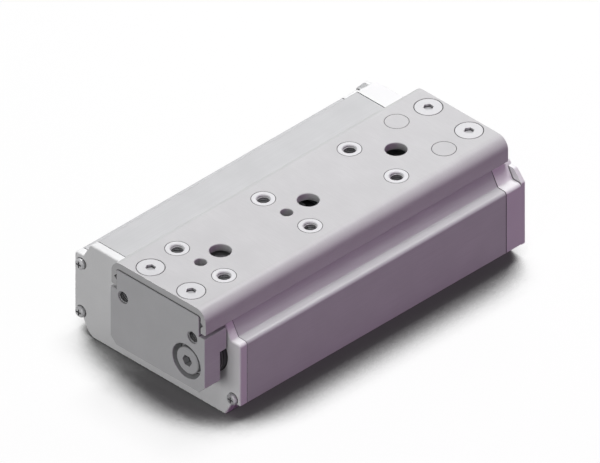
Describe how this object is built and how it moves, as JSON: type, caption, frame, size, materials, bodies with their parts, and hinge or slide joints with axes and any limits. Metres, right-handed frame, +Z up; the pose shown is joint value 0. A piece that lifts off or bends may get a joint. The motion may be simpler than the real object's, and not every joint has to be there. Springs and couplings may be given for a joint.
{
  "type": "electric slide table",
  "caption": "Compact electric slide table: U-channel table and end plate on a ball guide, driven along the stroke by a belt-coupled lead screw inside an aluminium body.",
  "frame": {"origin": "middle of the overall footprint, on the mounting face", "axes": "+Y towards the rear cover (the table moves towards -Y), +Z up from the mounting face, +X to the side of the rod"},
  "size_m": [0.072, 0.1344, 0.0436],
  "materials": {
    "anodised_aluminium": "fine satin anodised",
    "cover_resin": "fine moulded satin, pale",
    "cap_resin": "moulded",
    "rubber": "matt",
    "stainless_steel": "ground",
    "bearing_steel": "ground",
    "screw_steel": "nickel plated",
    "insert_steel": "passivated",
    "bronze": "turned",
    "pulley_aluminium": "turned",
    "motor_shell": "satin black"
  },
  "bodies": {
    "housing": {"ball_cage_front_left": "bearing_steel", "ball_cage_front_right": "bearing_steel", "ball_cage_rear_left": "bearing_steel", "ball_cage_rear_right": "bearing_steel", "bearing_outer": "bearing_steel", "bearing_stopper": "bearing_steel", "belt": "rubber", "block_cap_front_1": "cap_resin", "block_cap_front_2": "cap_resin", "block_cap_rear_1": "cap_resin", "block_cap_rear_2": "cap_resin", "block_screw_front_1": "screw_steel", "block_screw_front_2": "screw_steel", "block_screw_rear_1": "screw_steel", "block_screw_rear_2": "screw_steel", "body": "anodised_aluminium", "cable_grommet": "rubber", "front_cover": "cover_resin", "front_cover_screw_1": "screw_steel", "front_cover_screw_2": "screw_steel", "front_cover_screw_3": "screw_steel", "guide_block_front": "bearing_steel", "guide_block_rear": "bearing_steel", "motor_body": "motor_shell", "motor_plate": "stainless_steel", "override_plug": "cap_resin", "rear_cover": "cover_resin", "rear_cover_screw_1": "screw_steel", "rear_cover_screw_2": "screw_steel", "rear_cover_screw_3": "screw_steel", "rod_bushing": "bronze", "rod_seal": "rubber"},
    "table_unit": {"bumper_ring": "rubber", "end_plate": "anodised_aluminium", "insert_left_1": "insert_steel", "insert_left_2": "insert_steel", "insert_left_3": "insert_steel", "insert_right_1": "insert_steel", "insert_right_2": "insert_steel", "insert_right_3": "insert_steel", "lead_nut": "bronze", "plug_left": "stainless_steel", "plug_right": "stainless_steel", "rear_stopper": "anodised_aluminium", "rod": "stainless_steel", "rod_screw": "screw_steel", "table": "stainless_steel", "table_screw_front_left": "screw_steel", "table_screw_front_right": "screw_steel", "table_screw_rear_left": "screw_steel", "table_screw_rear_right": "screw_steel"},
    "screw_unit": {"bearing_inner": "bearing_steel", "lead_screw": "bearing_steel", "lock_nut": "bearing_steel", "screw_pulley": "pulley_aluminium"},
    "motor_rotor": {"motor_pulley": "pulley_aluminium", "motor_shaft": "bearing_steel"}
  },
  "joints": [
    {"name": "table_slide", "type": "slide", "parent": "housing", "child": "table_unit", "axis": [0, -1, 0], "range_m": [0, 0.05]},
    {"name": "screw_turn", "type": "hinge", "parent": "housing", "child": "screw_unit", "pos_m": [0.0228, 0, 0.0218], "axis": [0, 1, 0], "range_deg": [-5, 1805]},
    {"name": "motor_turn", "type": "hinge", "parent": "housing", "child": "motor_rotor", "pos_m": [-0.0154, 0.05, 0.017], "axis": [0, 1, 0], "range_deg": [-5, 1805]}
  ],
  "couplings": [
    {"joint": "screw_turn", "follows": "table_slide", "rad_per_m": 628.32},
    {"joint": "motor_turn", "follows": "table_slide", "rad_per_m": 628.32}
  ]
}
